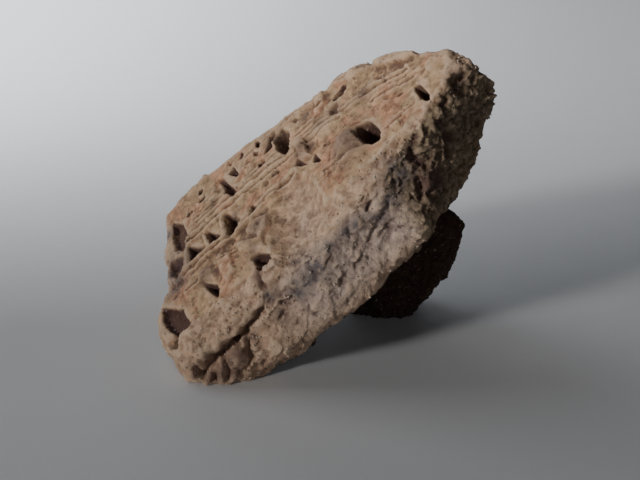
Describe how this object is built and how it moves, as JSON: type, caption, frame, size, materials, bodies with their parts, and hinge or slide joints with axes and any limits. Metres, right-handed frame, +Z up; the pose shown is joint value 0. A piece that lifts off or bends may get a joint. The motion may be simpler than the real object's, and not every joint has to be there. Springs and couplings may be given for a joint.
{
  "type": "clay seal fragment",
  "caption": "Broken lump of fired clay with ruled rows of wedge strokes on its slanting face, leaning on its toe and on a knob under its back.",
  "frame": {"origin": "on the table, under the middle of the piece as it lies", "axes": "+Z up, +X from the toe towards the knob along the slope of the slab, +Y away from the broken front"},
  "size_m": [0.0422, 0.0294, 0.0387],
  "materials": {
    "fired_clay": "matt and sandy, tan on the inscribed face, grey in the break"
  },
  "bodies": {
    "root": {"clay_sealing": "fired_clay"}
  },
  "joints": []
}
